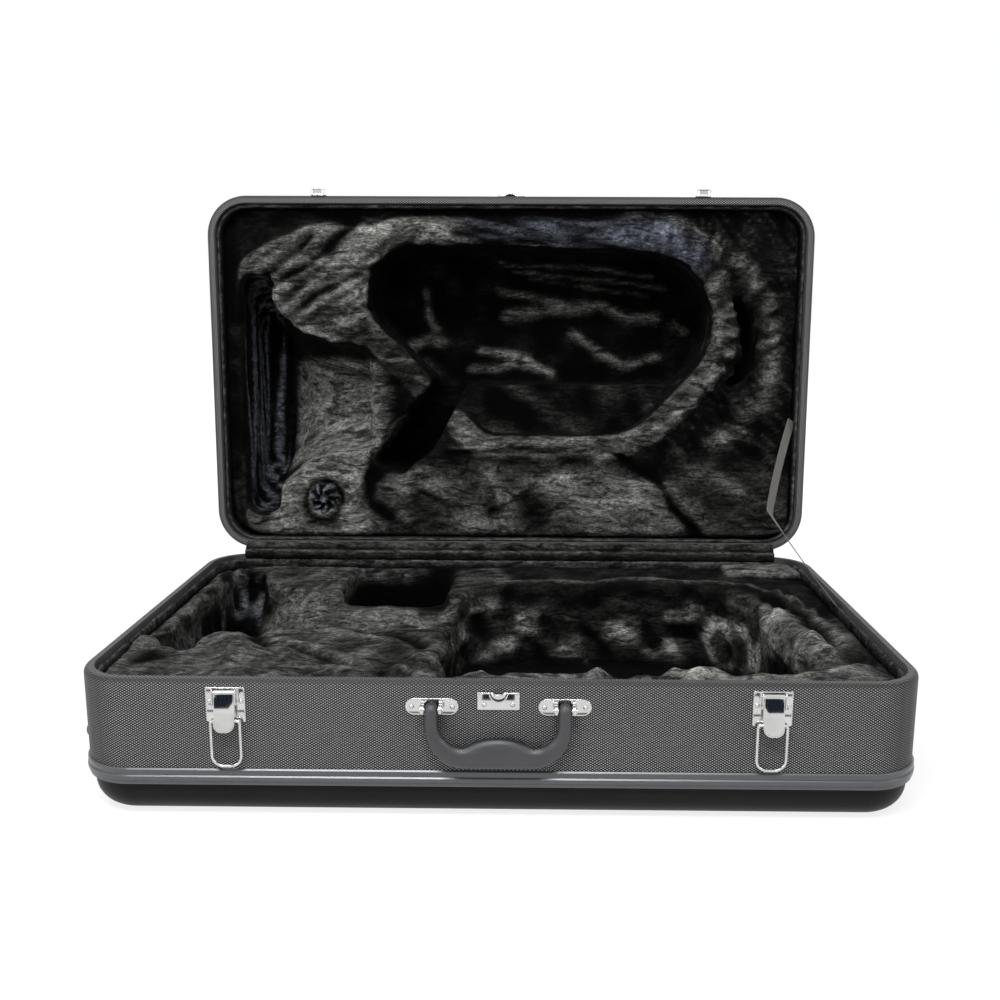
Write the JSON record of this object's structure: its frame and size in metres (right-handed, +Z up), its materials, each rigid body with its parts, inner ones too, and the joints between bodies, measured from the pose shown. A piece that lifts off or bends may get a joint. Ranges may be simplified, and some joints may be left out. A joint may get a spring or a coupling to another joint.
{
  "type": "euphonium case",
  "caption": "Hard case for a euphonium, open: tray base and hinged lid with rounded rims, lever latches with wire bails, two carrying handles and a plush lining shaped for the horn.",
  "frame": {"origin": "centre of the underside of the base, which is flat", "axes": "+X to the right along the front, +Y from the front to the hinge, +Z up"},
  "size_m": [0.8687, 0.6951, 0.657],
  "materials": {
    "tray_shell": "satin",
    "vinyl_wall": "matte",
    "trim_extrusion": "satin",
    "handle_moulding": "satin",
    "glide_feet": "satin",
    "strap_webbing": "matte",
    "plush_lining": "matte",
    "nickel_hardware": "polished"
  },
  "bodies": {
    "base": {"base_bell_pad": "plush_lining", "base_body_pad": "plush_lining", "base_corner_pad": "plush_lining", "base_feet": "glide_feet", "base_floor_pad": "plush_lining", "base_pocket_pad": "plush_lining", "base_rivets": "nickel_hardware", "base_sleeve": "plush_lining", "base_tray": "tray_shell", "base_trim": "trim_extrusion", "base_wall_band": "vinyl_wall", "centre_plate_base": "nickel_hardware", "end_handle_pins": "nickel_hardware", "end_handle_posts": "nickel_hardware", "front_handle_pins": "nickel_hardware", "front_handle_posts": "nickel_hardware", "hinge_base_leaves": "nickel_hardware", "hinge_pins": "nickel_hardware", "hinge_strip": "plush_lining", "latch_pin_left": "nickel_hardware", "latch_pin_right": "nickel_hardware", "latch_plate_left": "nickel_hardware", "latch_plate_right": "nickel_hardware", "stay_strap": "strap_webbing"},
    "lid": {"catch_left": "nickel_hardware", "catch_right": "nickel_hardware", "centre_plate_lid": "nickel_hardware", "hinge_lid_leaves": "nickel_hardware", "lid_bell_pad": "plush_lining", "lid_body_pad": "plush_lining", "lid_feet": "glide_feet", "lid_floor_pad": "plush_lining", "lid_lower_pads": "plush_lining", "lid_rivets": "nickel_hardware", "lid_sleeve": "plush_lining", "lid_tray": "tray_shell", "lid_trim": "trim_extrusion", "lid_tuft_button": "plush_lining", "lid_tuft_pad": "plush_lining", "lid_wall_band": "vinyl_wall"},
    "lever_left": {"latch_lever_left": "nickel_hardware"},
    "lever_right": {"latch_lever_right": "nickel_hardware"},
    "loop_left": {"bail_left": "nickel_hardware"},
    "loop_right": {"bail_right": "nickel_hardware"},
    "front_grip": {"front_handle": "handle_moulding"},
    "end_grip": {"end_handle": "handle_moulding"}
  },
  "joints": [
    {"name": "lid_hinge", "type": "hinge", "parent": "base", "child": "lid", "pos_m": [0, 0.2525, 0.1473], "axis": [1, 0, 0], "range_deg": [0, 92.3], "deforming": ["stay_strap", "hinge_strip"]},
    {"name": "latch_lever_left", "type": "hinge", "parent": "base", "child": "lever_left", "pos_m": [-0.265, -0.2528, 0.1356], "axis": [1, 0, 0], "range_deg": [-140, 0]},
    {"name": "bail_left", "type": "hinge", "parent": "lever_left", "child": "loop_left", "pos_m": [-0.265, -0.2532, 0.1065], "axis": [-1, 0, 0], "range_deg": [0, 180]},
    {"name": "latch_lever_right", "type": "hinge", "parent": "base", "child": "lever_right", "pos_m": [0.265, -0.2528, 0.1356], "axis": [1, 0, 0], "range_deg": [-140, 0]},
    {"name": "bail_right", "type": "hinge", "parent": "lever_right", "child": "loop_right", "pos_m": [0.265, -0.2532, 0.1065], "axis": [-1, 0, 0], "range_deg": [0, 180]},
    {"name": "front_handle", "type": "hinge", "parent": "base", "child": "front_grip", "pos_m": [0, -0.2572, 0.1216], "axis": [-1, 0, 0], "range_deg": [0, 165]},
    {"name": "end_handle", "type": "hinge", "parent": "base", "child": "end_grip", "pos_m": [0.4302, -0.059, 0.1216], "axis": [0, -1, 0], "range_deg": [0, 165]}
  ]
}
